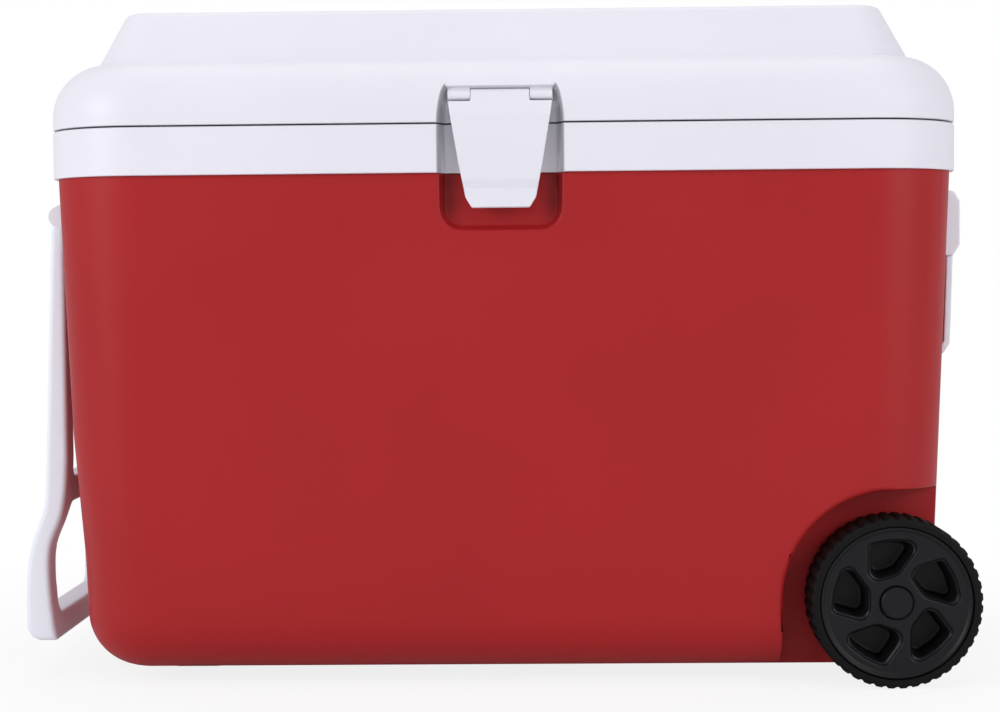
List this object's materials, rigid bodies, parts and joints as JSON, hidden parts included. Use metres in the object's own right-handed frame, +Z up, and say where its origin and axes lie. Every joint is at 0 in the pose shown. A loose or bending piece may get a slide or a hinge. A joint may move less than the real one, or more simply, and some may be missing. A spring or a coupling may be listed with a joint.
{
  "type": "vaccine carrier",
  "caption": "Wheeled hard-sided cold box: tapered insulated tub, hinged lid with front latch, tow handle at one end, small bail at the other, drain plug.",
  "frame": {"origin": "on the floor, below the middle of the whole, handles included", "axes": "+X from the tow handle towards the wheels, -Y towards the latch, +Z up"},
  "size_m": [0.7202, 0.3972, 0.502],
  "materials": {
    "red_shell": "satin",
    "white_plastic": "satin",
    "black_plastic": "satin",
    "tyre": "matte",
    "steel": "brushed",
    "seal_rubber": "matte",
    "insulation": "foam"
  },
  "bodies": {
    "tub": {"outer_shell": "red_shell", "shell_foam": "insulation", "inner_liner": "white_plastic", "foot_pads": "seal_rubber", "axle_sleeve": "black_plastic", "wheel_axle": "steel", "axle_washers": "steel", "axle_push_nuts": "steel", "hinge_body_leaves": "steel", "hinge_pins": "steel", "hinge_body_screws": "steel", "tow_bracket_front": "white_plastic", "tow_bracket_rear": "white_plastic", "tow_bracket_screws": "steel", "tow_pivot_pins": "steel", "side_bracket_front": "white_plastic", "side_bracket_rear": "white_plastic", "side_bracket_screws": "steel", "side_pivot_pins": "steel", "drain_fitting": "white_plastic", "drain_gasket": "seal_rubber", "drain_nut": "white_plastic"},
    "lid": {"lid_cover": "white_plastic", "lid_foam": "insulation", "lid_inner_panel": "white_plastic", "lid_gasket": "seal_rubber", "hinge_lid_leaves": "steel", "hinge_lid_screws": "steel", "latch_pin": "steel"},
    "latch": {"latch": "white_plastic"},
    "tow_handle": {"tow_handle": "white_plastic"},
    "side_handle": {"side_handle": "white_plastic"},
    "wheel_front": {"wheel_front_hub": "black_plastic", "wheel_front_tyre": "tyre", "wheel_front_cap": "black_plastic"},
    "wheel_rear": {"wheel_rear_hub": "black_plastic", "wheel_rear_tyre": "tyre", "wheel_rear_cap": "black_plastic"},
    "drain_plug": {"drain_plug": "white_plastic"}
  },
  "joints": [
    {"name": "lid_hinge", "type": "hinge", "parent": "tub", "child": "lid", "pos_m": [0.006, 0.1972, 0.412], "axis": [-1, 0, 0], "range_deg": [0, 105]},
    {"name": "latch_hinge", "type": "hinge", "parent": "lid", "child": "latch", "pos_m": [0.006, -0.1845, 0.433], "axis": [-1, 0, 0], "range_deg": [0, 95]},
    {"name": "tow_handle_hinge", "type": "hinge", "parent": "tub", "child": "tow_handle", "pos_m": [-0.33017, 0, 0.35], "axis": [0, 1, 0], "range_deg": [0, 135]},
    {"name": "side_handle_hinge", "type": "hinge", "parent": "tub", "child": "side_handle", "pos_m": [0.34975, 0, 0.34], "axis": [0, -1, 0], "range_deg": [0, 110]},
    {"name": "wheel_front_spin", "type": "hinge", "parent": "tub", "child": "wheel_front", "pos_m": [0.2906, -0.16, 0.0625], "axis": [0, 1, 0], "continuous": true},
    {"name": "wheel_rear_spin", "type": "hinge", "parent": "tub", "child": "wheel_rear", "pos_m": [0.2906, 0.16, 0.0625], "axis": [0, 1, 0], "continuous": true},
    {"name": "drain_plug_slide", "type": "slide", "parent": "tub", "child": "drain_plug", "axis": [-1, 0, 0], "range_m": [0, 0.03]}
  ]
}
